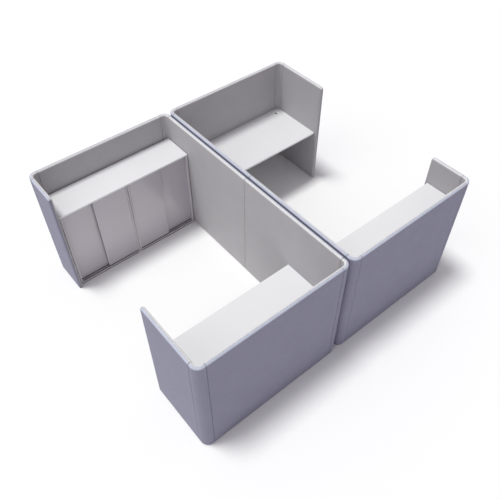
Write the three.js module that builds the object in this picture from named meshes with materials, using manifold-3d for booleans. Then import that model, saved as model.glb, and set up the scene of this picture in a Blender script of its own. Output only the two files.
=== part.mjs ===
// Two-place study carrel: two C-shaped upholstered bays standing back to back.
// Each bay screens one desk and one run of sliding-door cabinets.
// Units are millimetres, +Z is up, and the origin is on the floor at the centre of the pair.
// The second bay is the first one turned half a turn about Z.

import * as THREE from 'three';
import { mergeVertices } from 'three/addons/utils/BufferGeometryUtils.js';
import Module from 'manifold-3d';

const wasm = await Module();
wasm.setup();

// ---- driving dimensions ----

const PANEL = 42;                // thickness of an upholstered screen panel
const ROLL = 20;                 // radius of the rounded top and free edges
const WALL_HEIGHT = 1405;
const BAY_LENGTH = 2930;         // outer length along Y
const CLEAR_WIDTH = 1616;        // between the inner faces of long wall and wing
const BAY_GAP = 22;              // air between the two long walls
const CABINET_WING = 488;        // outer length of the wing beside the cabinets
const DESK_WING = 800;           // outer length of the wing beside the desk
const CORNER_RADIUS = 80;        // outside radius of a corner post, in plan
const WING_RADIUS = 35;          // upper corner of a wing's free end
const GLIDE_HEIGHT = 6;          // levelling glides under the panels
const GLIDE_RADIUS = 16;
const GLIDE_INSET = 110;         // from a panel's end to its glide
const SEAM = 1;                  // gap between neighbouring panels

const DESK_FIT = 4;              // desk to the upholstery around it
const CABINET_FIT = 8;           // cabinets to the upholstery, each side
const CABINET_BACK_FIT = 16;     // cabinets to the end wall, clear of the rounded corner posts
const TOUCH = 0.3;               // pieces that rest on each other

const CABINET_DEPTH = 388;
const CABINET_HEIGHT = 1087;
const CABINET_TOP = 19;
const CABINETS = 2;              // carcasses side by side in each bay
const SIDE_BOARD = 22;
const BOARD = 18;                // shelves, bottoms and doors
const BACK_BOARD = 6;
const PLINTH = 12;               // floor to the underside of a cabinet bottom
const FOOT_HEIGHT = 6;           // glides under the cabinet sides
const FOOT_RADIUS = 9;
const FOOT_INSET = 45;

const DOOR_WIDTH = 395;
const DOOR_SETBACK = 3;          // front door behind the carcass front edge
const DOOR_LANE = 32;            // from the front door's face to the rear door's face
const DOOR_LIFT = 18;            // bottom board to a door's lower edge, spanned by the runner
const DOOR_PLAY = 1.5;           // a door's upper edge to the top board
const TRACK_WIDTH = 8;
const TRACK_DEPTH = 5;
const RUNNER_PLAY = 1;           // runner to each side of its track

const DESK_DEPTH = 705;
const DESK_HEIGHT = 740;
const DESK_TOP = 25;
const DESK_EDGE = 6;             // rounding of the desk's front edge
const ANGLE_LEG = 40;            // desk support angles
const ANGLE_STEEL = 3;
const ANGLE_LENGTH = 580;

const GROMMET_FROM_WING = 98;
const GROMMET_FROM_BACK = 93;
const HOLE_RADIUS = 31;
const FLANGE_RADIUS = 40;
const FLANGE_HEIGHT = 3;
const SLEEVE_RADIUS = 30.5;
const BORE_RADIUS = 27.5;
const CAP_RADIUS = 32.5;
const CAP_THICKNESS = 2;
const MOON_RADIUS = 25;          // half-moon cable outlet in the cap
const MOON_CHORD = 3;            // its straight edge, from the cap's centre

// ---- derived places in the first bay ----

const BACK_X = -BAY_GAP / 2;                                  // outer face of the long wall
const OPEN_X = BACK_X - CLEAR_WIDTH - 2 * PANEL;              // outer face of the wings
const END_Y = BAY_LENGTH / 2;                                 // outer face of an end wall
const INNER_LEFT = OPEN_X + PANEL;
const INNER_RIGHT = BACK_X - PANEL;
const INNER_END = END_Y - PANEL;

const ROLL_STEPS = 4;            // facets in a quarter of the rounded top
const ARC_STEPS = 8;             // facets in a corner post's quarter turn
const LEG_STEPS = 2;             // facets in each straight leg beside that turn
const ROUND_STEPS = 4;           // facets in a rounded corner of the desk top
const ARC_LENGTH = (Math.PI / 2) * (CORNER_RADIUS - PANEL / 2);
const LEG_LENGTH = (LEG_STEPS * ARC_LENGTH) / ARC_STEPS;
const CORNER_REACH = CORNER_RADIUS + LEG_LENGTH;              // outer corner to its seam

const CABINET_LEFT = INNER_LEFT + CABINET_FIT;
const CABINET_RUN = CLEAR_WIDTH - 2 * CABINET_FIT;
const CARCASS_WIDTH = CABINET_RUN / CABINETS;
const CARCASS_CLEAR = CARCASS_WIDTH - 2 * SIDE_BOARD;
const CABINET_BACK = INNER_END - CABINET_BACK_FIT;
const CABINET_FRONT = CABINET_BACK - CABINET_DEPTH;
const BOTTOM_TOP = PLINTH + BOARD;
const CARCASS_TOP = CABINET_HEIGHT - CABINET_TOP;
const DESK_LEFT = INNER_LEFT + DESK_FIT;
const DESK_RIGHT = INNER_RIGHT - DESK_FIT;
const DESK_BACK = -INNER_END + DESK_FIT;
const DESK_CORNER = CORNER_RADIUS - PANEL - DESK_FIT;         // its rear corners, in plan

// ---- finishes ----

const finish = (color, roughness, metalness = 0) => ({ color, roughness, metalness });
const FINISHES = {
  outerFabric: finish(0x8f91a6, 0.95),
  innerFabric: finish(0xa9a8ab, 0.95),
  whiteBoard: finish(0xf1f1f4, 0.45),
  greyBoard: finish(0xc9c7cc, 0.5),
  greySteel: finish(0x6c6d72, 0.4, 0.8),
  whitePlastic: finish(0xf4f4f4, 0.4),
};

// ---- solids ----

// Turns a closed three.js geometry into a solid that can be joined and cut.
function solid(geometry) {
  const bare = geometry.clone();
  bare.deleteAttribute('normal');
  bare.deleteAttribute('uv');
  const merged = mergeVertices(bare);
  const mesh = new wasm.Mesh({
    numProp: 3,
    vertProperties: new Float32Array(merged.attributes.position.array),
    triVerts: new Uint32Array(merged.index.array),
  });
  return new wasm.Manifold(mesh);
}

// Turns a joined or cut solid back into a three.js geometry.
function geometryOf(body) {
  const mesh = body.getMesh();
  const geometry = new THREE.BufferGeometry();
  geometry.setAttribute('position', new THREE.BufferAttribute(mesh.vertProperties, 3));
  geometry.setIndex(new THREE.BufferAttribute(mesh.triVerts, 1));
  geometry.computeVertexNormals();
  return geometry;
}

// A box between two corners.
function block([x0, y0, z0], [x1, y1, z1]) {
  const geometry = new THREE.BoxGeometry(x1 - x0, y1 - y0, z1 - z0);
  return geometry.translate((x0 + x1) / 2, (y0 + y1) / 2, (z0 + z1) / 2);
}

// An upright cylinder between two heights.
function upright(x, y, radius, z0, z1, sides) {
  const geometry = new THREE.CylinderGeometry(radius, radius, z1 - z0, sides);
  return geometry.rotateX(Math.PI / 2).translate(x, y, (z0 + z1) / 2);
}

// An outline of [y, z] points extruded from x0 along +X.
function extrudeAlongX(outline, x0, length) {
  const shape = new THREE.Shape(outline.map(([y, z]) => new THREE.Vector2(y, z)));
  const geometry = new THREE.ExtrudeGeometry(shape, { depth: length, bevelEnabled: false });
  const turn = new THREE.Matrix4().makeBasis(
    new THREE.Vector3(0, 1, 0),
    new THREE.Vector3(0, 0, 1),
    new THREE.Vector3(1, 0, 0),
  );
  return geometry.applyMatrix4(turn).translate(x0, 0, 0);
}

// Points of an arc about [cx, cz], from one angle to another in degrees.
function arc(cx, cz, radius, from, to, steps) {
  return Array.from({ length: steps + 1 }, (_, i) => {
    const angle = THREE.MathUtils.degToRad(from + ((to - from) * i) / steps);
    return [cx + radius * Math.cos(angle), cz + radius * Math.sin(angle)];
  });
}

// ---- screen panels, in wall axes: +X along the wall, +Y inwards, outer face at y = 0 ----

// Cross-section of a panel as [across, up] points: flat faces and a rounded top.
function panelSection() {
  return [
    [0, GLIDE_HEIGHT],
    [PANEL, GLIDE_HEIGHT],
    ...arc(PANEL - ROLL, WALL_HEIGHT - ROLL, ROLL, 0, 90, ROLL_STEPS),
    ...arc(ROLL, WALL_HEIGHT - ROLL, ROLL, 90, 180, ROLL_STEPS),
  ];
}

function glide(x, y) {
  const overlap = 1;
  return solid(upright(x, y, GLIDE_RADIUS, 0, GLIDE_HEIGHT + overlap, 12));
}

// Adds one glide near each end of a straight panel.
function withGlides(panel, length) {
  const first = glide(GLIDE_INSET, PANEL / 2);
  const last = glide(length - GLIDE_INSET, PANEL / 2);
  return geometryOf(panel.add(first).add(last));
}

function wallPanel(length) {
  return withGlides(solid(extrudeAlongX(panelSection(), 0, length)), length);
}

// A wing's free end is rounded all round; its other end is cut square for the seam.
function wingPanel(length, freeAtStart) {
  const past = 2 * WING_RADIUS;
  const inner = WING_RADIUS - ROLL;
  const endX = length - ROLL;
  const topZ = WALL_HEIGHT - ROLL;
  const outline = [
    [-past, -past],
    [endX, -past],
    ...arc(endX - inner, topZ - inner, inner, 0, 90, ROLL_STEPS),
    [-past, topZ],
  ];
  const shape = new THREE.Shape(outline.map(([x, z]) => new THREE.Vector2(x, z)));
  const slab = new THREE.ExtrudeGeometry(shape, {
    depth: PANEL - 2 * ROLL,
    bevelThickness: ROLL,
    bevelSize: ROLL,
    bevelSegments: ROLL_STEPS,
  });
  slab.translate(0, 0, ROLL).rotateX(Math.PI / 2).translate(0, PANEL, 0);
  const trim = block([0, -PANEL, GLIDE_HEIGHT], [2 * length, 2 * PANEL, 2 * WALL_HEIGHT]);
  const panel = solid(slab).intersect(solid(trim));
  const geometry = withGlides(panel, length);
  if (freeAtStart) {
    geometry.rotateZ(Math.PI).translate(length, PANEL, 0);
  }
  return geometry;
}

// Centre line of a corner post: straight leg, quarter turn to the left, straight leg.
class CornerPath extends THREE.Curve {
  getPoint(t, target = new THREE.Vector3()) {
    const radius = CORNER_RADIUS - PANEL / 2;
    const along = t * (ARC_LENGTH + 2 * LEG_LENGTH) - LEG_LENGTH;
    const turned = THREE.MathUtils.clamp(along, 0, ARC_LENGTH);
    const angle = turned / radius;
    const before = Math.min(along, 0);
    const after = Math.max(along - ARC_LENGTH, 0);
    const x = -CORNER_RADIUS + before + radius * Math.sin(angle);
    const y = CORNER_RADIUS - radius * Math.cos(angle) + after;
    return target.set(x, y, 0);
  }
}

// A corner post arrives along +X and leaves along +Y, with its sharp corner at the origin.
function cornerPost() {
  // ExtrudeGeometry lays a section's x along -Z and its y to the left of the path.
  const section = panelSection().map(([across, up]) => new THREE.Vector2(-up, across - PANEL / 2));
  const sweep = new THREE.ExtrudeGeometry(new THREE.Shape(section), {
    steps: ARC_STEPS + 2 * LEG_STEPS,
    extrudePath: new CornerPath(),
  });
  const middle = new CornerPath().getPoint(0.5);
  return geometryOf(solid(sweep).add(glide(middle.x, middle.y)));
}

// ---- cabinets, in bay axes ----

// Middle of a door lane along Y: lane 0 is in front, lane 1 behind it.
function laneCentre(lane) {
  return CABINET_FRONT + DOOR_SETBACK + lane * DOOR_LANE + BOARD / 2;
}

function tracks(x0, x1, z0, z1) {
  return [0, 1].map((lane) => {
    const y = laneCentre(lane);
    return solid(block([x0, y - TRACK_WIDTH / 2, z0], [x1, y + TRACK_WIDTH / 2, z1]));
  });
}

function carcassLeft(index) {
  return CABINET_LEFT + index * CARCASS_WIDTH;
}

// One top board covers both carcasses and carries the upper tracks.
function cabinetTop() {
  const right = CABINET_LEFT + CABINET_RUN;
  let top = solid(block([CABINET_LEFT, CABINET_FRONT, CARCASS_TOP], [right, CABINET_BACK, CABINET_HEIGHT]));
  for (let index = 0; index < CABINETS; index += 1) {
    const x0 = carcassLeft(index) + SIDE_BOARD;
    const cuts = tracks(x0, x0 + CARCASS_CLEAR, CARCASS_TOP - 1, CARCASS_TOP + TRACK_DEPTH);
    cuts.forEach((cut) => {
      top = top.subtract(cut);
    });
  }
  return geometryOf(top);
}

function cabinetSide(x0) {
  const x1 = x0 + SIDE_BOARD - TOUCH;
  const board = block([x0, CABINET_FRONT, FOOT_HEIGHT], [x1, CABINET_BACK, CARCASS_TOP - TOUCH]);
  let side = solid(board);
  [CABINET_FRONT + FOOT_INSET, CABINET_BACK - FOOT_INSET].forEach((y) => {
    side = side.add(solid(upright((x0 + x1) / 2, y, FOOT_RADIUS, 0, FOOT_HEIGHT + 1, 12)));
  });
  return geometryOf(side);
}

function cabinetBottom(x0) {
  const x1 = x0 + CARCASS_CLEAR;
  const rear = CABINET_BACK - BACK_BOARD - 2 * TOUCH;
  let bottom = solid(block([x0 + TOUCH, CABINET_FRONT, PLINTH], [x1 - TOUCH, rear, BOTTOM_TOP]));
  tracks(x0 - 1, x1 + 1, BOTTOM_TOP - TRACK_DEPTH, BOTTOM_TOP + 1).forEach((cut) => {
    bottom = bottom.subtract(cut);
  });
  return geometryOf(bottom);
}

function cabinetBack(x0) {
  const low = [x0 + TOUCH, CABINET_BACK - BACK_BOARD - TOUCH, PLINTH];
  return block(low, [x0 + CARCASS_CLEAR - TOUCH, CABINET_BACK - TOUCH, CARCASS_TOP - TOUCH]);
}

function cabinetShelf(x0) {
  const z0 = (BOTTOM_TOP + CARCASS_TOP - BOARD) / 2;
  const front = CABINET_FRONT + DOOR_SETBACK + DOOR_LANE + BOARD + 10;
  const rear = CABINET_BACK - BACK_BOARD - 2 * TOUCH;
  return block([x0 + TOUCH, front, z0], [x0 + CARCASS_CLEAR - TOUCH, rear, z0 + BOARD]);
}

// A door board with the runners that slide in the lower and upper track.
function cabinetDoor(x0, lane) {
  const y = laneCentre(lane);
  const x1 = x0 + DOOR_WIDTH;
  const runner = TRACK_WIDTH / 2 - RUNNER_PLAY;
  const boardLow = [x0, y - BOARD / 2, BOTTOM_TOP + DOOR_LIFT];
  const board = block(boardLow, [x1, y + BOARD / 2, CARCASS_TOP - DOOR_PLAY]);
  const low = BOTTOM_TOP - TRACK_DEPTH + TOUCH;
  const high = CARCASS_TOP + TRACK_DEPTH - DOOR_PLAY;
  const tongue = block([x0 + DOOR_PLAY, y - runner, low], [x1 - DOOR_PLAY, y + runner, high]);
  return geometryOf(solid(board).add(solid(tongue)));
}

// ---- desk, in bay axes ----

function grommetCentre() {
  return [INNER_LEFT + GROMMET_FROM_WING, -INNER_END + GROMMET_FROM_BACK];
}

// Plan of the desk top as an upright prism: its rear corners follow the rounded corner posts.
function deskPlan() {
  const front = DESK_BACK + DESK_DEPTH + 1;
  const rear = DESK_BACK + DESK_CORNER;
  const outline = [
    ...arc(DESK_LEFT + DESK_CORNER, rear, DESK_CORNER, 180, 270, ROUND_STEPS),
    ...arc(DESK_RIGHT - DESK_CORNER, rear, DESK_CORNER, 270, 360, ROUND_STEPS),
    [DESK_RIGHT, front],
    [DESK_LEFT, front],
  ];
  const shape = new THREE.Shape(outline.map(([x, y]) => new THREE.Vector2(x, y)));
  return new THREE.ExtrudeGeometry(shape, { depth: 2 * DESK_HEIGHT, bevelEnabled: false });
}

function deskTop() {
  const front = DESK_BACK + DESK_DEPTH;
  const low = DESK_HEIGHT - DESK_TOP;
  const profile = [
    [DESK_BACK, low],
    ...arc(front - DESK_EDGE, low + DESK_EDGE, DESK_EDGE, -90, 0, 3),
    ...arc(front - DESK_EDGE, DESK_HEIGHT - DESK_EDGE, DESK_EDGE, 0, 90, 3),
    [DESK_BACK, DESK_HEIGHT],
  ];
  const board = solid(extrudeAlongX(profile, DESK_LEFT, DESK_RIGHT - DESK_LEFT));
  const [x, y] = grommetCentre();
  const hole = upright(x, y, HOLE_RADIUS, low - 1, DESK_HEIGHT + 1, 32);
  return geometryOf(board.intersect(solid(deskPlan())).subtract(solid(hole)));
}

// A steel angle: one leg on the screen, one leg under the desk top.
function deskAngle(towardsRight) {
  const top = DESK_HEIGHT - DESK_TOP - TOUCH;
  const bend = [
    [0, top - ANGLE_LEG],
    [ANGLE_STEEL, top - ANGLE_LEG],
    [ANGLE_STEEL, top - ANGLE_STEEL],
    [ANGLE_LEG, top - ANGLE_STEEL],
    [ANGLE_LEG, top],
    [0, top],
  ];
  const geometry = extrudeAlongX(bend, -ANGLE_LENGTH / 2, ANGLE_LENGTH);
  const middle = DESK_BACK + DESK_DEPTH / 2;
  if (towardsRight) {
    return geometry.rotateZ(-Math.PI / 2).translate(INNER_LEFT + TOUCH, middle, 0);
  }
  return geometry.rotateZ(Math.PI / 2).translate(INNER_RIGHT - TOUCH, middle, 0);
}

// Flanged sleeve of the cable grommet, with a seat for the cap.
function grommetRing() {
  const low = -DESK_TOP - TOUCH;
  const seat = TOUCH + 1;
  const high = TOUCH + FLANGE_HEIGHT;
  const seatRadius = CAP_RADIUS + 0.5;
  const profile = [
    [BORE_RADIUS, low],
    [SLEEVE_RADIUS, low],
    [SLEEVE_RADIUS, TOUCH],
    [FLANGE_RADIUS, TOUCH],
    [FLANGE_RADIUS - 1, high],
    [seatRadius, high],
    [seatRadius, seat],
    [BORE_RADIUS, seat],
    [BORE_RADIUS, low],
  ];
  const lathe = new THREE.LatheGeometry(profile.map(([r, z]) => new THREE.Vector2(r, z)), 32);
  return lathe.rotateX(Math.PI / 2);
}

// Turning cap with a half-moon cable outlet on its +X side.
function grommetCap() {
  const shape = new THREE.Shape(arc(0, 0, CAP_RADIUS, 0, 348.75, 31).map(([x, y]) => new THREE.Vector2(x, y)));
  const reach = THREE.MathUtils.radToDeg(Math.acos(MOON_CHORD / MOON_RADIUS));
  const moon = arc(0, 0, MOON_RADIUS, -reach, reach, 12);
  shape.holes.push(new THREE.Path(moon.map(([x, y]) => new THREE.Vector2(x, y))));
  const plate = new THREE.ExtrudeGeometry(shape, { depth: CAP_THICKNESS, bevelEnabled: false });
  return plate.translate(0, 0, TOUCH + 1 + TOUCH);
}

// ---- assembly ----

function piece(name, geometry, finishName) {
  const mesh = new THREE.Mesh(geometry, new THREE.MeshStandardMaterial(FINISHES[finishName]));
  mesh.name = name;
  return mesh;
}

// Stands a wall-axes piece at a point of the plan, turned to its heading.
function stand(mesh, x, y, quarterTurns) {
  mesh.position.set(x, y, 0);
  mesh.rotation.z = (quarterTurns * Math.PI) / 2;
  return mesh;
}

// The screen runs from the desk wing round the back to the cabinet wing, inside on its left.
function screen(bay) {
  const reach = CORNER_REACH + SEAM / 2;
  const endWall = BACK_X - OPEN_X - 2 * CORNER_REACH - SEAM;
  const halfWall = END_Y - CORNER_REACH - SEAM;
  const deskWing = DESK_WING - CORNER_REACH - SEAM / 2;
  const cabinetWing = CABINET_WING - CORNER_REACH - SEAM / 2;
  const fabric = (name, geometry) => piece(`${bay}_${name}`, geometry, 'outerFabric');
  return [
    stand(fabric('desk_wing', wingPanel(deskWing, true)), OPEN_X, -END_Y + DESK_WING, 3),
    stand(fabric('corner_desk_wing', cornerPost()), OPEN_X, -END_Y, 3),
    stand(fabric('desk_wall', wallPanel(endWall)), OPEN_X + reach, -END_Y, 0),
    stand(fabric('corner_desk_back', cornerPost()), BACK_X, -END_Y, 0),
    stand(fabric('back_wall_desk', wallPanel(halfWall)), BACK_X, -END_Y + reach, 1),
    stand(fabric('back_wall_cabinet', wallPanel(halfWall)), BACK_X, SEAM / 2, 1),
    stand(fabric('corner_cabinet_back', cornerPost()), BACK_X, END_Y, 1),
    stand(fabric('cabinet_wall', wallPanel(endWall)), BACK_X - reach, END_Y, 2),
    stand(fabric('corner_cabinet_wing', cornerPost()), OPEN_X, END_Y, 2),
    stand(fabric('cabinet_wing', wingPanel(cabinetWing, false)), OPEN_X, END_Y - reach, 3),
  ];
}

// Doors are numbered from the wing: the outer two run in the rear lane, the middle two in front.
function cabinets(bay) {
  const meshes = [piece(`${bay}_cabinet_top`, cabinetTop(), 'whiteBoard')];
  for (let index = 0; index < CABINETS; index += 1) {
    const number = index + 1;
    const left = carcassLeft(index);
    const x0 = left + SIDE_BOARD;
    const x1 = x0 + CARCASS_CLEAR;
    const firstLane = index === 0 ? 1 : 0;
    const add = (name, geometry, finishName) => {
      meshes.push(piece(`${bay}_${name}`, geometry, finishName));
    };
    add(`cabinet_${number}_left_side`, cabinetSide(left + TOUCH / 2), 'greyBoard');
    add(`cabinet_${number}_right_side`, cabinetSide(x1 + TOUCH / 2), 'greyBoard');
    add(`cabinet_${number}_bottom`, cabinetBottom(x0), 'greyBoard');
    add(`cabinet_${number}_back`, cabinetBack(x0), 'greyBoard');
    add(`cabinet_${number}_shelf`, cabinetShelf(x0), 'greyBoard');
    add(`door_${2 * number - 1}`, cabinetDoor(x0 + TOUCH + 1, firstLane), 'greyBoard');
    add(`door_${2 * number}`, cabinetDoor(x1 - TOUCH - 1 - DOOR_WIDTH, 1 - firstLane), 'greyBoard');
  }
  return meshes;
}

function desk(bay) {
  const [x, y] = grommetCentre();
  const ring = piece(`${bay}_grommet_ring`, grommetRing(), 'whitePlastic');
  const cap = piece(`${bay}_grommet_cap`, grommetCap(), 'whitePlastic');
  ring.position.set(x, y, DESK_HEIGHT);
  cap.position.set(x, y, DESK_HEIGHT);
  return [
    piece(`${bay}_desk_top`, deskTop(), 'whiteBoard'),
    piece(`${bay}_desk_angle_wing`, deskAngle(true), 'greySteel'),
    piece(`${bay}_desk_angle_back`, deskAngle(false), 'greySteel'),
    ring,
    cap,
  ];
}

function buildBay(bay, turn) {
  const group = new THREE.Group();
  group.add(...screen(bay), ...cabinets(bay), ...desk(bay));
  group.rotation.z = turn;
  return group;
}

const carrel = new THREE.Group();
carrel.add(buildBay('bay_a', 0), buildBay('bay_b', Math.PI));

export default carrel;
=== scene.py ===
"""Looks of the double study carrel: upholstered screens, desks, cabinets and sliding doors.

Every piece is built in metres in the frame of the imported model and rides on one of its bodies.
The two bays are alike: the second is the first turned half a turn about Z, so each sub-assembly is
built in the axes of its own bay and turned into place.
"""

from __future__ import annotations

import logging
import math
from dataclasses import dataclass, field
from enum import Enum
from typing import Iterable, Mapping, Sequence

import bmesh
import bpy
from mathutils import Matrix, Vector, noise


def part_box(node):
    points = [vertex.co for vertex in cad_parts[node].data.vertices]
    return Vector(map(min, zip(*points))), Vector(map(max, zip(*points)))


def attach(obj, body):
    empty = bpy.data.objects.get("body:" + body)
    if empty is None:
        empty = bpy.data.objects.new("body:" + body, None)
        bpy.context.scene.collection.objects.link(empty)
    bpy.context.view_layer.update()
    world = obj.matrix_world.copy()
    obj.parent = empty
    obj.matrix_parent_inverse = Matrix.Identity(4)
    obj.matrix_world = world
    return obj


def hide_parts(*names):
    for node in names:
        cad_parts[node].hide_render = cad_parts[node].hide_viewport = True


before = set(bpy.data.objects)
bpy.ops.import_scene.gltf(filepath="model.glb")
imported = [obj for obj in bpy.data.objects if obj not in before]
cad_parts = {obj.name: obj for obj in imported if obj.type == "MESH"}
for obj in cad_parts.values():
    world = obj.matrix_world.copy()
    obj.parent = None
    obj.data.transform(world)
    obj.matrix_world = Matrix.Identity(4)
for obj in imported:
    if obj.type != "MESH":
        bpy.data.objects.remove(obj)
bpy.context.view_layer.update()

LOG = logging.getLogger("carrel")
MM = 0.001
TURN = 2 * math.pi

Colour = tuple[float, float, float]
Point = tuple[float, float, float]
Pair = tuple[float, float]
Outline = list[Pair]


# ---- shader graphs ----


class Value:
    """A number socket of a material, used in Python expressions that add Math nodes."""

    def __init__(self, graph: Graph, socket: bpy.types.NodeSocket) -> None:
        """Args: graph: the tree that holds the socket. socket: the wrapped output."""
        self.graph = graph
        self.socket = socket

    def _math(self, operation: str, *operands: Value | float) -> Value:
        """Adds one Math node and returns its result."""
        inputs = dict(enumerate(operands))
        return self.graph.node("ShaderNodeMath", {"operation": operation}, inputs)[0]

    def __add__(self, other: Value | float) -> Value:
        """Sum."""
        return self._math("ADD", self, other)

    def __radd__(self, other: float) -> Value:
        """Sum with a number on the left."""
        return self._math("ADD", other, self)

    def __sub__(self, other: Value | float) -> Value:
        """Difference."""
        return self._math("SUBTRACT", self, other)

    def __rsub__(self, other: float) -> Value:
        """Difference from a number."""
        return self._math("SUBTRACT", other, self)

    def __mul__(self, other: Value | float) -> Value:
        """Product."""
        return self._math("MULTIPLY", self, other)

    def __rmul__(self, other: float) -> Value:
        """Product with a number on the left."""
        return self._math("MULTIPLY", other, self)

    def sine(self) -> Value:
        """Sine of the value in radians."""
        return self._math("SINE", self)

    def step(self, low: float, high: float) -> Value:
        """A smooth step from 0 at low to 1 at high."""
        settings = {"interpolation_type": "SMOOTHSTEP"}
        return self.graph.node("ShaderNodeMapRange", settings, {0: self, 1: low, 2: high})[0]


class Node:
    """A shader node whose outputs are read by name or index as Values."""

    def __init__(self, graph: Graph, raw: bpy.types.Node) -> None:
        """Args: graph: the tree that holds the node. raw: Blender's node."""
        self.graph = graph
        self.raw = raw

    def __getitem__(self, key: str | int) -> Value:
        """The output with that name or index."""
        return Value(self.graph, self.raw.outputs[key])


class Graph:
    """The node tree of one material."""

    def __init__(self, name: str) -> None:
        """Args: name: the material's name."""
        self.material = bpy.data.materials.new(name)
        self.material.use_nodes = True
        self.tree = self.material.node_tree
        self.tree.nodes.clear()

    def node(
        self,
        kind: str,
        settings: Mapping[str, object] | None = None,
        inputs: Mapping[str | int, object] | None = None,
    ) -> Node:
        """Adds a node.

        Args:
            kind: Blender's node type.
            settings: properties of the node, set first.
            inputs: values or links by socket name or index.

        Returns:
            The new node.
        """
        raw = self.tree.nodes.new(kind)
        for key, value in (settings or {}).items():
            setattr(raw, key, value)
        for key, value in (inputs or {}).items():
            if isinstance(value, Value):
                self.tree.links.new(value.socket, raw.inputs[key])
            else:
                raw.inputs[key].default_value = value
        return Node(self, raw)

    def blend(self, share: Value | float, first: object, second: object) -> Value:
        """Mixes two colours by a share, from the first at 0 to the second at 1."""
        ends = [(*c, 1.0) if isinstance(c, tuple) else c for c in (first, second)]
        settings = {"data_type": "RGBA", "clamp_factor": True}
        return self.node("ShaderNodeMix", settings, {0: share, 6: ends[0], 7: ends[1]})[2]

    def noise(self, coords: Value, scale: float, detail: float = 2.0) -> Value:
        """Fractal noise, about 0.5 on average, in features of 1 / scale metres."""
        return self.node(
            "ShaderNodeTexNoise", {}, {"Vector": coords, "Scale": scale, "Detail": detail}
        )["Fac"]

    def object_coords(self) -> Value:
        """Position in the row frame, in metres."""
        return self.node("ShaderNodeTexCoord")["Object"]

    def uv_axes(self) -> tuple[Value, Value, Value]:
        """The laid-flat cloth's coordinates: the vector, its run and its rise, in metres."""
        coords = self.node("ShaderNodeTexCoord")["UV"]
        split = self.node("ShaderNodeSeparateXYZ", {}, {0: coords})
        return coords, split["X"], split["Y"]

    def bump(self, height: Value, distance: float, strength: float = 1.0) -> Value:
        """A normal bent by a height, where a height of 1 stands distance metres proud."""
        inputs = {"Height": height, "Distance": distance, "Strength": strength}
        return self.node("ShaderNodeBump", {}, inputs)["Normal"]

    def shade(self, inputs: Mapping[str, object]) -> bpy.types.Material:
        """Closes the graph with one Principled surface.

        Args:
            inputs: values or links of the Principled node's sockets.

        Returns:
            The finished material.
        """
        surface = self.node("ShaderNodeBsdfPrincipled", {}, inputs)
        self.node("ShaderNodeOutputMaterial", {}, {"Surface": surface["BSDF"]})
        return self.material


# ---- finishes ----


def tint(colour: Colour, factor: float) -> Colour:
    """A colour made lighter or darker by a factor."""
    return tuple(min(1.0, channel * factor) for channel in colour)


@dataclass(frozen=True)
class WovenCloth:
    """Plain-woven melange upholstery cloth with a soft sheen."""

    name: str
    yarn: Colour
    # Paler yarn colour of the painted highlight over the rolled top.
    rubbed: Colour
    contrast: float = 0.16
    thread: float = 1.5 * MM
    relief: float = 0.35 * MM
    fleck: float = 5.0 * MM
    cloud: float = 220.0 * MM
    # The painted highlight grows from nothing at its start to full at its end, both measured below the top
    # seam; its lower edge wavers.
    fade_start: float = 33.0 * MM
    fade_end: float = 12.0 * MM
    fade_waver: float = 6.0 * MM

    def material(self) -> bpy.types.Material:
        """Builds the cloth: crossing threads, flecks, soft clouds and a painted highlight, a paler yarn
        colour over the rolled top seam.
        """
        graph = Graph(self.name)
        coords, run, rise = graph.uv_axes()
        turns = math.pi / self.thread
        warp = (run * turns).sine()
        weft = (rise * turns).sine()
        weave = (warp * weft) * 0.5 + 0.5
        slub = graph.noise(coords, 0.35 / self.fleck, 3.0)
        fleck = graph.noise(coords, 1 / self.fleck, 4.0)
        cloud = graph.noise(coords, 1 / self.cloud, 2.0)
        melange = fleck * 0.62 + slub * 0.28 + cloud * 0.10
        speckle = melange.step(0.34, 0.66)
        plain_yarn = self._mottled(graph, speckle, self.yarn)
        # Painted highlight: the yarn turns paler over the rolled top, standing in for the light that falls
        # on the roll.
        pale = self._mottled(graph, speckle, self.rubbed)
        wear_and_highlight_share = (rise + (slub - 0.5) * self.fade_waver).step(-self.fade_start, -self.fade_end)
        yarn = graph.blend(wear_and_highlight_share, plain_yarn, pale)
        shaded = graph.blend((1 - weave) * 0.22, yarn, tint(self.yarn, 0.55))
        relief = weave * 0.8 + fleck * 0.6
        return graph.shade(
            {
                "Base Color": shaded,
                "Roughness": 0.86 + (fleck - 0.5) * 0.16,
                "Normal": graph.bump(relief, self.relief),
                "Sheen Weight": 0.06,
                "Sheen Roughness": 0.45,
                "Specular IOR Level": 0.25,
            }
        )

    def _mottled(self, graph: Graph, speckle: Value, colour: Colour) -> Value:
        """A yarn colour that wanders a little to each side."""
        dark = tint(colour, 1 - self.contrast)
        return graph.blend(speckle, dark, tint(colour, 1 + self.contrast))


@dataclass(frozen=True)
class Laminate:
    """Melamine-faced board: fine orange-peel texture and faint handling marks."""

    name: str
    colour: Colour
    roughness: float = 0.42
    gloss: float = 0.4
    peel: float = 1.1 * MM
    relief: float = 0.018 * MM

    def material(self) -> bpy.types.Material:
        """Builds the laminate's colour, gloss variation and surface texture."""
        graph = Graph(self.name)
        coords = graph.object_coords()
        peel = graph.noise(coords, 1 / self.peel, 1.0)
        smear = graph.noise(coords, 7.0, 4.0).step(0.3, 0.8)
        cloud = graph.noise(coords, 1.7, 2.0)
        paper = graph.blend(cloud.step(0.3, 0.7), tint(self.colour, 0.985), self.colour)
        colour = graph.blend(smear * 0.4, paper, tint(self.colour, 0.985))
        return graph.shade(
            {
                "Base Color": colour,
                "Roughness": self.roughness + smear * 0.03 + (peel - 0.5) * 0.05,
                "Normal": graph.bump(peel, self.relief),
                "Specular IOR Level": self.gloss,
            }
        )


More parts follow.
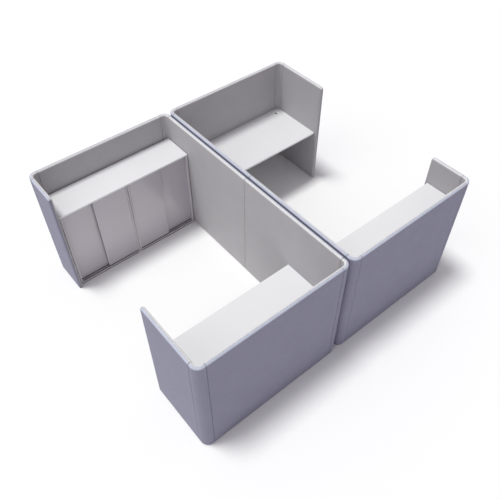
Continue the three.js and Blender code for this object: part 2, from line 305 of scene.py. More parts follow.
@dataclass(frozen=True)
class EdgeBand:
    """Plastic edging of a board, a shade off the laminate and rubbed a little at its corners."""

    name: str
    colour: Colour
    roughness: float = 0.5

    def material(self) -> bpy.types.Material:
        """Builds the edging with fine lengthwise scratches and rubbed corners."""
        graph = Graph(self.name)
        coords = graph.object_coords()
        scratch = graph.noise(coords, 420.0, 2.0)
        rubbed = graph.node("ShaderNodeNewGeometry")["Pointiness"].step(0.51, 0.56)
        wear_and_highlight_share = rubbed * graph.noise(coords, 60.0, 3.0)
        colour = graph.blend(wear_and_highlight_share * 0.5, self.colour, tint(self.colour, 0.86))
        return graph.shade(
            {
                "Base Color": colour,
                "Roughness": self.roughness + (scratch - 0.5) * 0.12,
                "Normal": graph.bump(scratch, 0.02 * MM),
                "Specular IOR Level": 0.4,
            }
        )


@dataclass(frozen=True)
class Moulded:
    """Injection-moulded plastic with a fine spark-eroded texture."""

    name: str
    colour: Colour
    roughness: float = 0.45
    grain: float = 0.6 * MM

    def material(self) -> bpy.types.Material:
        """Builds the moulded surface."""
        graph = Graph(self.name)
        coords = graph.object_coords()
        grain = graph.noise(coords, 1 / self.grain, 2.0)
        dust = graph.noise(coords, 30.0, 3.0).step(0.45, 0.8)
        colour = graph.blend(dust * 0.4, self.colour, tint(self.colour, 0.93))
        return graph.shade(
            {
                "Base Color": colour,
                "Roughness": self.roughness + (grain - 0.5) * 0.14 + dust * 0.06,
                "Normal": graph.bump(grain, 0.03 * MM),
            }
        )


@dataclass(frozen=True)
class Metal:
    """Steel or aluminium, plated, extruded or powder-coated."""

    name: str
    colour: Colour
    metallic: float
    roughness: float
    grain: float = 0.8 * MM
    relief: float = 0.03 * MM

    def material(self) -> bpy.types.Material:
        """Builds the metal with a fine grain and a little wear on its corners."""
        graph = Graph(self.name)
        coords = graph.object_coords()
        grain = graph.noise(coords, 1 / self.grain, 3.0)
        patch = graph.noise(coords, 18.0, 3.0)
        rubbed = graph.node("ShaderNodeNewGeometry")["Pointiness"].step(0.52, 0.6)
        colour = graph.blend(rubbed * 0.35, self.colour, tint(self.colour, 1.35))
        tone = graph.blend(patch.step(0.35, 0.7) * 0.4, colour, tint(self.colour, 0.9))
        return graph.shade(
            {
                "Base Color": tone,
                "Metallic": self.metallic,
                "Roughness": self.roughness + (patch - 0.5) * 0.12 + (grain - 0.5) * 0.08,
                "Normal": graph.bump(grain, self.relief),
            }
        )


@dataclass(frozen=True)
class StudioFloor:
    """Pale seamless floor."""

    name: str = "studio_floor"
    colour: Colour = (0.90, 0.90, 0.90)

    def material(self) -> bpy.types.Material:
        """Builds the matt floor."""
        graph = Graph(self.name)
        return graph.shade(
            {"Base Color": (*self.colour, 1.0), "Roughness": 0.9, "Specular IOR Level": 0.1}
        )


class Look(Enum):
    """The finishes of the object, by the slot of the record that each stands for."""

    # Each cloth's second colour is its painted highlight over the rolled top.
    OUTER_CLOTH = (
        "outer_fabric",
        WovenCloth(
            "lilac_grey_cloth",
            (0.289, 0.286, 0.376),
            (0.59, 0.62, 0.73),
            fade_start=40 * MM,
            fade_end=18 * MM,
        ),
    )
    INNER_CLOTH = (
        "inner_fabric",
        WovenCloth("warm_grey_cloth", (0.515, 0.505, 0.52), (0.80, 0.80, 0.80), 0.13),
    )
    WHITE_FACE = ("white_board", Laminate("white_laminate", (0.75, 0.75, 0.765)))
    WHITE_EDGE = ("white_board", EdgeBand("white_edging", (0.90, 0.90, 0.905)))
    GREY_FACE = ("grey_board", Laminate("pale_grey_laminate", (0.58, 0.545, 0.60), 0.3))
    GREY_EDGE = ("grey_board", EdgeBand("pale_grey_edging", (0.62, 0.59, 0.63)))
    DOOR_FACE = ("grey_door", Laminate("door_laminate", (0.53, 0.50, 0.548), 0.2, 1.0))
    DOOR_EDGE = ("grey_door", EdgeBand("door_edging", (0.70, 0.67, 0.71)))
    STEEL = ("grey_steel", Metal("grey_powder_coat", (0.25, 0.25, 0.27), 0.0, 0.45))
    ZINC = ("screw_steel", Metal("zinc_plating", (0.62, 0.62, 0.64), 1.0, 0.35))
    TRACK = ("black_plastic", Moulded("track_moulding", (0.06, 0.056, 0.064), 0.5))
    WHITE_PLASTIC = ("white_plastic", Moulded("white_moulding", (0.87, 0.87, 0.87)))
    BLACK_PLASTIC = ("black_plastic", Moulded("black_moulding", (0.03, 0.03, 0.032), 0.55))

    @property
    def slot(self) -> str:
        """The record's material slot."""
        return self.value[0]

    def material(self) -> bpy.types.Material:
        """The finish's material, built once."""
        finish = self.value[1]
        return bpy.data.materials.get(finish.name) or finish.material()


GREY_BOARD = (Look.GREY_FACE, Look.GREY_EDGE)
WHITE_BOARD = (Look.WHITE_FACE, Look.WHITE_EDGE)
DOOR_BOARD = (Look.DOOR_FACE, Look.DOOR_EDGE)


# ---- bays and their axes ----


@dataclass(frozen=True)
class Span:
    """A box in the axes of a bay."""

    low: Vector
    high: Vector

    @property
    def size(self) -> Vector:
        """Lengths of the three sides."""
        return self.high - self.low

    @property
    def centre(self) -> Vector:
        """Middle of the box."""
        return (self.low + self.high) / 2


class Bay(Enum):
    """The two bays: the second is the first turned half a turn about Z."""

    FIRST = ("bay_a", 1)
    SECOND = ("bay_b", -1)

    @property
    def prefix(self) -> str:
        """Start of the names of this bay's nodes."""
        return self.value[0]

    @property
    def turn(self) -> Matrix:
        """Takes the bay's own axes to the row frame."""
        sign = self.value[1]
        return Matrix.Diagonal((sign, sign, 1, 1))

    def node(self, name: str) -> str:
        """Full name of one of this bay's nodes."""
        return f"{self.prefix}_{name}"

    def span(self, name: str) -> Span:
        """The box of one of this bay's nodes, in the bay's own axes."""
        corners = [self.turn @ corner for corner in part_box(self.node(name))]
        low = Vector(map(min, *corners))
        return Span(low, Vector(map(max, *corners)))


class Heading(Enum):
    """Direction of a stretch of screen, walked with the bay's inside on the left."""

    EAST = 0
    NORTH = 1
    WEST = 2
    SOUTH = 3

    def axes(self, span: Span) -> Matrix:
        """Takes wall axes (along, inwards, up) to bay axes.

        Args:
            span: box of the panel, or of the corner post that ends on this heading.

        Returns:
            The matrix, whose origin is on the outer face at the panel's start.
        """
        x = span.low.x if self in (Heading.EAST, Heading.SOUTH) else span.high.x
        y = span.low.y if self in (Heading.EAST, Heading.NORTH) else span.high.y
        quarter = Matrix.Rotation(self.value * math.pi / 2, 4, "Z")
        return Matrix.Translation((x, y, 0)) @ quarter


# ---- meshes ----


@dataclass
class Draft:
    """A mesh being put together, in bay axes, with one finish per face."""

    points: list[Vector] = field(default_factory=list)
    faces: list[tuple[int, ...]] = field(default_factory=list)
    looks: list[int] = field(default_factory=list)
    flat: Outline = field(default_factory=list)

    def add(self, points: Iterable[Sequence[float]], faces: Iterable[Sequence[int]], look: int = 0) -> None:
        """Adds points and the faces between them.

        Args:
            points: the new points.
            faces: corner numbers, counted from the first new point.
            look: number of the finish of these faces.
        """
        base = len(self.points)
        self.points.extend(Vector(p) for p in points)
        for face in faces:
            self.faces.append(tuple(base + corner for corner in face))
            self.looks.append(look)

    def loft(self, rings: Sequence[Sequence[Sequence[float]]], look: int = 0) -> None:
        """Joins rings of equal length into a closed solid with an end cap on the first and last."""
        count = len(rings[0])
        points = [p for ring in rings for p in ring]
        faces: list[tuple[int, ...]] = []
        for level in range(len(rings) - 1):
            for i in range(count):
                a = level * count + i
                b = level * count + (i + 1) % count
                faces.append((a, b, b + count, a + count))
        faces.append(tuple(reversed(range(count))))
        faces.append(tuple(range((len(rings) - 1) * count, len(rings) * count)))
        self.add(points, faces, look)

    def turned(self, centre: Sequence[float], profile: Sequence[Pair], steps: int) -> None:
        """Adds a solid of revolution about an upright axis.

        Args:
            centre: point of the axis at the profile's height 0.
            profile: closed outline of (radius, height) points, clear of the axis.
            steps: facets round the axis.
        """
        count = len(profile)
        rings = [circle(centre, radius, height, steps) for radius, height in profile]
        points = [point for column in zip(*rings) for point in column]
        faces = []
        for step in range(steps):
            for i in range(count):
                j = (i + 1) % count
                a, b = step * count, ((step + 1) % steps) * count
                faces.append((a + i, b + i, b + j, a + j))
        self.add(points, faces)

    def disc_stack(self, centre: Sequence[float], profile: Sequence[Pair], steps: int) -> None:
        """Adds an upright round solid from (radius, height) rings, capped at both ends."""
        self.loft([circle(centre, radius, height, steps) for radius, height in profile])


@dataclass(frozen=True)
class Maker:
    """Turns drafts into pieces of one bay that ride on bodies of the model."""

    bay: Bay

    def piece(
        self,
        name: str,
        draft: Draft,
        looks: Sequence[Look],
        replaces: Sequence[str] = (),
        body: str = "root",
        smooth_below: float = 32.0,
    ) -> bpy.types.Object:
        """Makes one object from a draft.

        Args:
            name: the piece's name without the bay's prefix.
            draft: its mesh in bay axes.
            looks: finishes, in the order of the draft's look numbers.
            replaces: nodes of this bay that the piece stands for, without prefix.
            body: the body it rides on.
            smooth_below: faces that meet at less than this angle, in degrees, shade smoothly.

        Returns:
            The new object.
        """
        mesh = bpy.data.meshes.new(self.bay.node(name))
        mesh.from_pydata([self.bay.turn @ p for p in draft.points], [], draft.faces)
        for face, look in zip(mesh.polygons, draft.looks):
            face.material_index = look
        if draft.flat:
            layer = mesh.uv_layers.new(name="cloth")
            for loop in mesh.loops:
                layer.data[loop.index].uv = draft.flat[loop.vertex_index]
        self._face_outwards(mesh)
        mesh.shade_smooth()
        mesh.set_sharp_from_angle(angle=math.radians(smooth_below))
        piece = bpy.data.objects.new(self.bay.node(name), mesh)
        bpy.context.scene.collection.objects.link(piece)
        for look in looks:
            mesh.materials.append(look.material())
        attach(piece, body)
        if replaces:
            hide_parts(*[self.bay.node(n) for n in replaces])
        LOG.info("%s: %d faces on %s", piece.name, len(mesh.polygons), body)
        return piece

    def board(
        self, node: str, span: Span, edge: float, looks: Sequence[Look], body: str = "root"
    ) -> None:
        """Makes the board that stands for a node, with edges of a given radius."""
        self.piece(f"{node}_board", board(span, edge), looks, [node], body)

    @staticmethod
    def _face_outwards(mesh: bpy.types.Mesh) -> None:
        """Turns every face of a closed mesh outwards."""
        work = bmesh.new()
        work.from_mesh(mesh)
        bmesh.ops.recalc_face_normals(work, faces=work.faces)
        work.to_mesh(mesh)
        work.free()


def circle(centre: Sequence[float], radius: float, height: float, steps: int) -> list[list[float]]:
    """Level ring of points round an upright axis, at a height above the centre."""
    ring = []
    for step in range(steps):
        angle = TURN * step / steps
        offset = (radius * math.cos(angle), radius * math.sin(angle), height)
        ring.append([c + o for c, o in zip(centre, offset)])
    return ring


def arc(centre: Pair, radius: float, start: float, end: float, steps: int) -> Outline:
    """Points of an arc in a plane.

    Args:
        centre: the arc's centre.
        radius: its radius.
        start: first angle in degrees.
        end: last angle in degrees.
        steps: stretches between the points.

    Returns:
        The points from start to end, both included.
    """
    points = []
    for i in range(steps + 1):
        angle = math.radians(start + (end - start) * i / steps)
        points.append((centre[0] + radius * math.cos(angle), centre[1] + radius * math.sin(angle)))
    return points


def rounded_outline(
    low: Sequence[float], high: Sequence[float], radius: float, steps: int = 2
) -> Outline:
    """Outline of a rectangle with rounded corners, anticlockwise from its lower left corner."""
    inner = [(low[0] + radius, low[1] + radius), (high[0] - radius, low[1] + radius)]
    inner += [(high[0] - radius, high[1] - radius), (low[0] + radius, high[1] - radius)]
    outline: Outline = []
    for corner, start in zip(inner, (180, 270, 0, 90)):
        outline += arc(corner, radius, start, start + 90, steps)
    return outline


def board(span: Span, edge: float = 1.0 * MM) -> Draft:
    """A board with softly rounded edges, whose narrow sides carry the edging.

    Args:
        span: the board's box.
        edge: radius of its edges.

    Returns:
        The draft, with the faces as look 0 and the edging as look 1.
    """
    size = span.size
    corner = edge + 0.5 * MM
    thin = min(range(3), key=lambda axis: size[axis])
    across, along = [axis for axis in range(3) if axis != thin]
    draft = Draft()
    rings = []
    for inset, depth in rounded_levels(span.low[thin], span.high[thin], edge):
        low = [span.low[across] + inset, span.low[along] + inset]
        high = [span.high[across] - inset, span.high[along] - inset]
        ring = []
        for a, b in rounded_outline(low, high, corner - inset * 0.5):
            point = [0.0, 0.0, 0.0]
            point[thin], point[across], point[along] = depth, a, b
            ring.append(point)
        rings.append(ring)
    draft.loft(rings, 1)
    draft.looks[-1] = 0
    draft.looks[-2] = 0
    return draft


def rounded_levels(low: float, high: float, radius: float, steps: int = 3) -> Outline:
    """(inset, level) pairs that round the rims of a slab between two levels."""
    quarter = [math.pi / 2 * i / steps for i in range(steps + 1)]
    rise = [(radius * (1 - math.sin(a)), low + radius * (1 - math.cos(a))) for a in quarter]
    return rise + [(inset, high - (level - low)) for inset, level in reversed(rise)]


def join(*drafts: Draft) -> Draft:
    """One draft with the solids of several."""
    whole = Draft()
    for draft in drafts:
        base = len(whole.points)
        whole.points.extend(draft.points)
        whole.faces.extend(tuple(base + corner for corner in face) for face in draft.faces)
        whole.looks.extend(draft.looks)
    return whole


def bar(profile: Sequence[Pair], start: float, end: float) -> Draft:
    """A profile of (y, z) points extruded along X."""
    draft = Draft()
    draft.loft([[(x, y, z) for y, z in profile] for x in (start, end)])
    return draft


# ---- upholstered screens ----


class FreeEnd(Enum):
    """Which end of a panel stands free and is rolled over like its top."""

    NONE = 0
    START = 1
    END = 2


class Side(Enum):
    """Outer or inner cover of a panel."""

    OUTER = -1
    INNER = 1


@dataclass(frozen=True)
class StraightRun:
    """Centre line of a straight panel."""

    length: float
    stops: tuple[float, ...] = ()

    def at(self, distance: float) -> tuple[Vector, Vector]:
        """Point and inward direction at a distance from the start."""
        return Vector((distance, 0, 0)), Vector((0, 1, 0))


@dataclass(frozen=True)
class CornerRun:
    """Centre line of a corner post: straight leg, quarter turn to the left, straight leg."""

    reach: float
    radius: float
    half: float

    @property
    def leg(self) -> float:
        """Length of each straight leg."""
        return self.reach - self.radius

    @property
    def turn(self) -> float:
        """Length of the quarter turn along the centre line."""
        return math.pi / 2 * (self.radius - self.half)

    @property
    def length(self) -> float:
        """Length of the whole centre line."""
        return 2 * self.leg + self.turn

    @property
    def stops(self) -> tuple[float, ...]:
        """Distances at which the mesh needs a line: the facets of the turn."""
        steps = 10
        return tuple(self.leg + self.turn * i / steps for i in range(steps + 1))

    def at(self, distance: float) -> tuple[Vector, Vector]:
        """Point of the outer face and inward direction at a distance along the centre line."""
        turned = min(max(distance - self.leg, 0.0), self.turn)
        angle = turned / (self.radius - self.half)
        inward = Vector((-math.sin(angle), math.cos(angle), 0))
        ahead = Vector((math.cos(angle), math.sin(angle), 0))
        centre = Vector((self.leg, self.radius, 0))
        straight = min(distance - self.leg, 0.0) + max(distance - self.leg - self.turn, 0.0)
        return centre - inward * self.radius + ahead * straight, inward


@dataclass(frozen=True)
class Cover:
    """One padded cover of a panel, from the panel's middle plane to its face.

    The face is flat with a slight crown. The top, and the free end of a wing, are rolled over to
    the middle plane, where the two covers meet in a seam. The other edges are tucked in.
    """

    run: StraightRun | CornerRun
    side: Side
    height: float
    base: float
    half: float
    free_end: FreeEnd = FreeEnd.NONE
    corner: float = 35 * MM
    tuck_depth: float = 6.0 * MM
    tuck_width: float = 7.0 * MM
    seam_depth: float = 2.2 * MM
    seam_width: float = 5.0 * MM
    crown: float = 1.3 * MM
    ripple: float = 0.35 * MM
    pitch: float = 62 * MM

    def draft(self) -> Draft:
        """Builds the closed cover in wall axes, with its laid-flat coordinates."""
        columns = self._columns()
        rows = self._rows()
        draft = Draft()
        front = [[self._place(draft, s, drop, True) for drop in rows] for s in columns]
        back = []
        for i, s in enumerate(columns):
            line = []
            for j, drop in enumerate(rows):
                rim = j == 0 or (self.free_end is not FreeEnd.NONE and i == len(columns) - 1)
                line.append(front[i][j] if rim else self._place(draft, s, drop, False))
            back.append(line)
        self._skin(draft, front, back)
        return draft

    def _columns(self) -> list[float]:
        """Distances of the mesh's upright lines from the seam end."""
        tucked = [self.tuck_width * share for share in (0, 0.12, 0.3, 0.55, 0.8, 1, 2.2)]
        length = self.run.length
        if self.free_end is FreeEnd.NONE:
            last = [length - t for t in reversed(tucked)]
        else:
            last = [length - drop for drop in reversed(self._roll_drops())]
        middle = self.run.stops or self._spread(tucked[-1], last[0])
        return sorted({round(s, 6) for s in (*tucked, *middle, *last)})

    def _rows(self) -> list[float]:
        """Drops of the mesh's level lines below the top rim."""
        tucked = [self.tuck_width * share for share in (2.2, 1, 0.8, 0.55, 0.3, 0.12, 0)]
        last = [self.height - self.base - t for t in tucked]
        roll = self._roll_drops()
        return sorted({round(d, 6) for d in (*roll, *self._spread(roll[-1], last[0]), *last)})

    def _roll_drops(self) -> list[float]:
        """Distances from the rim at which the roll and the rounded corner have lines."""
        angles = (0, 5, 10, 16, 24, 34, 45, 57, 70, 90)
        roll = [self.half * (1 - math.cos(math.radians(a))) for a in angles]
        return roll + [self.half * 1.3, self.corner]

    def _spread(self, start: float, end: float) -> list[float]:
        """Even stops between two distances, about one pitch apart."""
        count = max(1, round((end - start) / self.pitch))
        return [start + (end - start) * i / count for i in range(1, count)]

    def _rim(self, s: float, drop: float) -> tuple[float, float, float, float, float]:
        """Elevation of a mesh point and how far it is from the rim.

        Args:
            s: distance along the run.
            drop: distance below the top.

        Returns:
            The point's distance along the run, its height, its distance inside the rim, and the
            outward direction of the nearest rim as (along, up).
        """
        length = self.run.length
        if self.free_end is FreeEnd.NONE:
            return s, self.height - drop, drop, 0.0, 1.0
        inset = max(0.0, length - s)
        if inset >= self.corner or drop >= self.corner:
            along = inset < drop
            return s, self.height - drop, min(inset, drop), float(along), float(not along)
        p, q = self.corner - inset, self.corner - drop
        reach, spread = max(p, q), math.hypot(p, q)
        along, up = (p / spread, q / spread) if spread > 0 else (0.0, 1.0)
        place = length - self.corner + reach * along
        level = self.height - self.corner + reach * up
        return place, level, self.corner - reach, along, up

    def _place(self, draft: Draft, s: float, drop: float, face: bool) -> int:
        """Adds the mesh point at a distance and a drop, on the face or on the middle plane."""
        place, level, inside, along, up = self._rim(s, drop)
        hair = 0.15 * MM
        if not face:
            return self._store(draft, place, level, hair, s, drop)
        angle = math.acos(max(0.0, 1 - inside / self.half))
        depth = max(hair, self.half * math.sin(angle))
        sink = self._sink(s, drop, self.half * angle) - self._swell(s, drop, inside)
        place -= sink * math.cos(angle) * along
        level -= sink * math.cos(angle) * up
        depth = max(hair, depth - sink * math.sin(angle))
        return self._store(draft, place, level, depth, s, drop)

    def _sink(self, s: float, drop: float, arc_from_rim: float) -> float:
        """How far the cloth is drawn in by the nearest tucked edge or by the top seam."""
        edge = min(s, self.height - self.base - drop)
        if self.free_end is FreeEnd.NONE:
            edge = min(edge, self.run.length - s)
        tucked = max(0.0, 1 - edge / self.tuck_width)
        seam = max(0.0, 1 - arc_from_rim / self.seam_width)
        return self.tuck_depth * tucked**2 + self.seam_depth * seam**2

    def _swell(self, s: float, drop: float, inside: float) -> float:
        """Crown and slight unevenness of the padding, both nil at the edges."""
        if inside < self.half:
            return 0.0
        across = 2 * s / self.run.length - 1
        upright = 2 * drop / (self.height - self.base) - 1
        crown = (1 - across**4) * (1 - upright**4)
        uneven = noise.noise(Vector((s * 5, drop * 5, self.run.length * 7 + self.side.value)))
        return crown * (self.crown + self.ripple * uneven)

    def _store(
        self, draft: Draft, place: float, level: float, depth: float, s: float, drop: float
    ) -> int:
        """Adds a point given in the panel's elevation; its cloth is measured from the top seam."""
        if self.free_end is FreeEnd.START:
            place = self.run.length - place
        origin, inward = self.run.at(place)
        point = origin + inward * (self.half + self.side.value * depth)
        draft.points.append(Vector((point.x, point.y, level)))
        rolled = self.half * math.acos(1 - min(drop, self.half) / self.half)
        draft.flat.append((s, -rolled - max(0.0, drop - self.half)))
        return len(draft.points) - 1

    @staticmethod
    def _skin(draft: Draft, front: list[list[int]], back: list[list[int]]) -> None:
        """Closes the face and the middle plane into one solid."""
        columns, rows = len(front), len(front[0])
        for i in range(columns - 1):
            for j in range(rows - 1):
                for grid in (front, back):
                    quad = (grid[i][j], grid[i + 1][j], grid[i + 1][j + 1], grid[i][j + 1])
                    draft.faces.append(quad)
        for j in range(rows - 1):
            for i in (0, columns - 1):
                rim = (front[i][j], front[i][j + 1], back[i][j + 1], back[i][j])
                draft.faces.append(rim)
        for i in range(columns - 1):
            draft.faces.append((front[i][-1], front[i + 1][-1], back[i + 1][-1], back[i][-1]))
        kept = []
        for face in draft.faces:
            corners = tuple(dict.fromkeys(face))
            if len(corners) > 2:
                kept.append(corners)
        draft.faces = kept
        draft.looks = [0] * len(kept)


@dataclass(frozen=True)
class Panel:
    """One upholstered panel of a screen: two covers, a base rail and its levelling glides."""

    name: str
    heading: Heading
    free_end: FreeEnd = FreeEnd.NONE
    post: bool = False
    base: float = 6 * MM
    post_radius: float = 80 * MM
    rail_inset: float = 6 * MM
    rail_drop: float = 2.5 * MM
    rail_rise: float = 8 * MM
    glide_inset: float = 110 * MM
    glide_radius: float = 16 * MM

    def build(self, maker: Maker, half: float) -> None:
        """Builds the panel's pieces.

        Args:
            maker: maker of the panel's bay.
            half: half the thickness of the screen.
        """
        span = maker.bay.span(self.name)
        axes = self.heading.axes(span)
        run = self._run(span.size, half)
        for side, look in ((Side.OUTER, Look.OUTER_CLOTH), (Side.INNER, Look.INNER_CLOTH)):
            cover = Cover(run, side, span.high.z, self.base, half, self.free_end).draft()
            cover.points = [axes @ p for p in cover.points]
            piece = maker.piece(
                f"{self.name}_{side.name.lower()}_cover", cover, [look], [self.name], smooth_below=60
            )
        self._base(maker, axes, run, half)

    def _run(self, size: Vector, half: float) -> StraightRun | CornerRun:
        """The panel's centre line."""
        if self.post:
            return CornerRun(size.x, self.post_radius, half)
        return StraightRun(max(size.x, size.y))

    def _glide_places(self, run: StraightRun | CornerRun) -> list[float]:
        """Distances of the glides along the run."""
        if self.post:
            return [run.length / 2]
        return [self.glide_inset, run.length - self.glide_inset]

    def _base(self, maker: Maker, axes: Matrix, run: StraightRun | CornerRun, half: float) -> None:
        """Adds the dark base rail under the covers and the glides that carry it; the rail's black is partly
        painted shadow, the dark line along the floor.
        """
        draft = Draft()
        # Black rail below the covers: partly a real base rail, partly painted shadow of the gap at the
        # floor.
        inset = self.rail_inset
        low, high = self.base - self.rail_drop, self.base + self.rail_rise
        rings = []
        for s in (inset, *run.stops, run.length - inset):
            origin, inward = run.at(s)
            near = origin + inward * inset
            far = origin + inward * (2 * half - inset)
            corners = ((near, low), (far, low), (far, high), (near, high))
            rings.append([(p.x, p.y, z) for p, z in corners])
        draft.loft(rings)
        for s in self._glide_places(run):
            origin, inward = run.at(s)
            foot = origin + inward * half
            r = self.glide_radius
            cup = [(r - 2 * MM, 0), (r, 0.6 * MM), (r, 2.2 * MM), (r - 4 * MM, 3.6 * MM)]
            draft.disc_stack(foot, [*cup, (5 * MM, 4 * MM), (5 * MM, self.base)], 28)
        draft.points = [axes @ p for p in draft.points]
        maker.piece(f"{self.name}_base_and_glides", draft, [Look.BLACK_PLASTIC])


@dataclass(frozen=True)
class Screen:
    """The screen of one bay, from the desk wing round the back to the cabinet wing."""

    bay: Bay
    panels: tuple[Panel, ...] = (
        Panel("desk_wing", Heading.SOUTH, FreeEnd.START),
        Panel("corner_desk_wing", Heading.SOUTH, post=True),
        Panel("desk_wall", Heading.EAST),
        Panel("corner_desk_back", Heading.EAST, post=True),
        Panel("back_wall_desk", Heading.NORTH),
        Panel("back_wall_cabinet", Heading.NORTH),
        Panel("corner_cabinet_back", Heading.NORTH, post=True),
        Panel("cabinet_wall", Heading.WEST),
        Panel("corner_cabinet_wing", Heading.WEST, post=True),
        Panel("cabinet_wing", Heading.SOUTH, FreeEnd.END),
    )
    link_width: float = 30 * MM
    link_thickness: float = 0.8 * MM
    link_start: float = 20 * MM
    link_drop: float = 8 * MM

    def build(self) -> None:
        """Builds every panel and the link profiles between them."""
        maker = Maker(self.bay)
        half = self.bay.span("desk_wall").size.y / 2
        for panel in self.panels:
            panel.build(maker, half)
        self._links(maker)

    def _links(self, maker: Maker) -> None:
        """Adds the thin metal profile that stands in the joint of each two neighbours."""
        draft = Draft()
        for first, second in zip(self.panels, self.panels[1:]):
            a, b = maker.bay.span(first.name), maker.bay.span(second.name)
            low = Vector(map(max, a.low, b.low))
            high = Vector(map(min, a.high, b.high))
            gap = [min(l, h) for l, h in zip(low, high)], [max(l, h) for l, h in zip(low, high)]
            middle = [(l + h) / 2 for l, h in zip(*gap)]
            along_x = abs(high.x - low.x) < abs(high.y - low.y)
            across, thin = self.link_width / 2, self.link_thickness / 2
            half = (thin, across) if along_x else (across, thin)
            levels = (gap[0][2] + self.link_start, gap[1][2] - self.link_drop)
            corners = [(-1, -1), (1, -1), (1, 1), (-1, 1)]
            plan = [(middle[0] + i * half[0], middle[1] + j * half[1]) for i, j in corners]
            draft.loft([[(x, y, z) for x, y in plan] for z in levels])
        maker.piece("link_profiles", draft, [Look.BLACK_PLASTIC])


# ---- cabinets and doors ----


